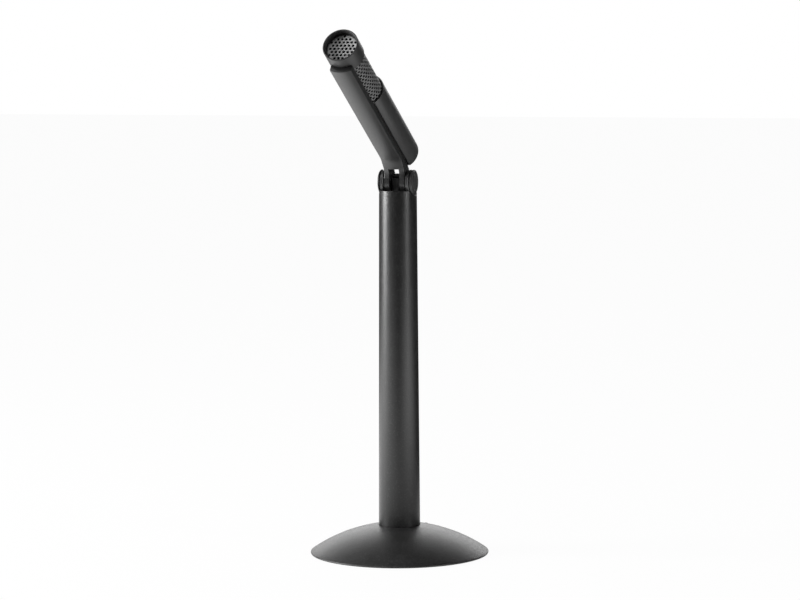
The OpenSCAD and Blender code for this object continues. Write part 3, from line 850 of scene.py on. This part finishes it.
def makeCap():
    c = capShape
    low, high = spanOf("end_cap", barrelPlace)
    grilleLow, grilleHigh = spanOf("end_grille", barrelPlace)
    meshHigh = spanOf("side_mesh", barrelPlace)[1]
    coreHigh = spanOf("barrel_core", barrelPlace)[1]
    radius, rim, grille = high.x, high.z, grilleHigh.x + 0.05
    outline = [(radius - 0.15, low.z), (radius, low.z + 0.15)]
    soft = c["rimRound"]
    outline += arcPoints((radius - soft, rim - soft), soft, 0, 90, 4)
    outline += [(radius - c["lip"], rim), (radius - c["lip"] - 0.12, rim - 0.05), (grille, rim - c["slope"]),
                (grille, grilleLow.z), (c["seatWall"], grilleLow.z),
                (c["seatWall"], coreHigh.z + 0.05), (c["coreWall"], coreHigh.z + 0.05),
                (c["coreWall"], meshHigh.z + 0.05), (c["meshWall"], meshHigh.z + 0.05),
                (c["meshWall"], low.z)]
    cap = turned("endCap", outline, 128)
    settle(cap, barrelPlace, "head", ["end_cap"], finishes["cap_matte"], 40)

    ringLow, ringHigh = spanOf("grille_ring", barrelPlace)
    outer, inner, soft = ringHigh.x, ringHigh.x - c["ringWidth"], c["ringRound"]
    outline = [(outer, ringLow.z), (outer, ringHigh.z)]
    outline += arcPoints((inner + soft, ringHigh.z - soft), soft, 90, 180, 3) + [(inner, ringLow.z)]
    ring = turned("grilleRing", outline, 128)
    settle(ring, barrelPlace, "head", ["grille_ring"], finishes["cap_matte"])


makeCap()


grilleShape = {
    "pitch": 1.68,
    "hole": 1.2,
    "margin": 0.7,
    "rows": 4,
}


def makeGrille():
    g = grilleShape
    low, high = spanOf("end_grille", barrelPlace)
    sheet = turned("endGrille", [(high.x, low.z), (high.x, high.z)], 96, ends=True)
    pins = []
    for row in range(-g["rows"], g["rows"] + 1):
        for column in range(-g["rows"], g["rows"] + 1):
            x = g["pitch"] * (column + (row % 2) / 2)
            y = g["pitch"] * math.sqrt(0.75) * row
            if math.hypot(x, y) < high.x - g["margin"]:
                move = Matrix.Translation((x, y, 0))
                pins.append(bar("pin", g["hole"] / 2, low.z - 1, high.z + 1, move, 20))
    focus(pins[0])
    for pin in pins:
        pin.select_set(True)
    bpy.ops.object.join()
    combine(sheet, bpy.context.object)
    soften(sheet, 0.04, 50, 2)
    settle(sheet, barrelPlace, "head", ["end_grille"], finishes["grille_grey"], 50)


makeGrille()


meshShape = {
    "around": 24,
    "rowStep": 1.42,
    "hole": 1.2,
    "thick": 0.3,
}


def makeSideMesh():
    m = meshShape
    low, high = spanOf("side_mesh", barrelPlace)
    radius, length = high.x, high.z - low.z
    pitch = 2 * math.pi * radius / m["around"]
    pairs = round(length / m["rowStep"] / 2)
    step = length / pairs / 2
    # one cell: a round hole whose edge is drawn out to a rectangle
    freshStart()
    bpy.ops.mesh.primitive_circle_add(vertices=12, radius=m["hole"] / 2)
    cell = bpy.context.object
    cell.name = "sideMesh"
    bpy.ops.object.mode_set(mode="EDIT")
    bpy.ops.mesh.select_all(action="SELECT")
    bpy.ops.mesh.extrude_region_move(TRANSFORM_OT_translate={"value": (0, 0, 0)})
    bpy.ops.transform.resize(value=(3, 3, 1))
    bpy.ops.object.mode_set(mode="OBJECT")
    border = [(0.5, 0), (0.5, 0.5), (0.25, 0.5), (0, 0.5), (-0.25, 0.5), (-0.5, 0.5)]
    border += [(-x, -y) for x, y in border]
    for vertex in cell.data.vertices:
        if vertex.co.xy.length > m["hole"]:
            turnPart = math.degrees(math.atan2(vertex.co.y, vertex.co.x)) % 360
            x, y = border[round(turnPart / 30) % 12]
            vertex.co = (x * pitch, y * step, 0)
    focus(cell)
    row = cell.modifiers.new("row", "ARRAY")
    row.count, row.use_relative_offset, row.use_constant_offset = m["around"], False, True
    row.constant_offset_displace = (pitch, 0, 0)
    row.use_merge_vertices, row.merge_threshold = True, 0.01
    bpy.ops.object.modifier_apply(modifier=row.name)
    bpy.ops.object.mode_set(mode="EDIT")
    bpy.ops.mesh.select_all(action="SELECT")
    shift = {"value": (pitch / 2, step, 0)}
    bpy.ops.mesh.duplicate_move(TRANSFORM_OT_translate=shift)
    bpy.ops.object.mode_set(mode="OBJECT")
    stack = cell.modifiers.new("stack", "ARRAY")
    stack.count, stack.use_relative_offset, stack.use_constant_offset = pairs, False, True
    stack.constant_offset_displace = (0, 2 * step, 0)
    bpy.ops.object.modifier_apply(modifier=stack.name)
    # roll the flat sheet round the barrel
    for vertex in cell.data.vertices:
        turn = vertex.co.x / radius
        vertex.co = (radius * math.sin(turn), -radius * math.cos(turn), low.z + step / 2 + vertex.co.y)
    tidyMesh(cell)
    focus(cell)
    wall = cell.modifiers.new("wall", "SOLIDIFY")
    wall.thickness, wall.offset = m["thick"], -1
    bpy.ops.object.modifier_apply(modifier=wall.name)
    settle(cell, barrelPlace, "head", ["side_mesh"], finishes["mesh_dark"], 50)


makeSideMesh()
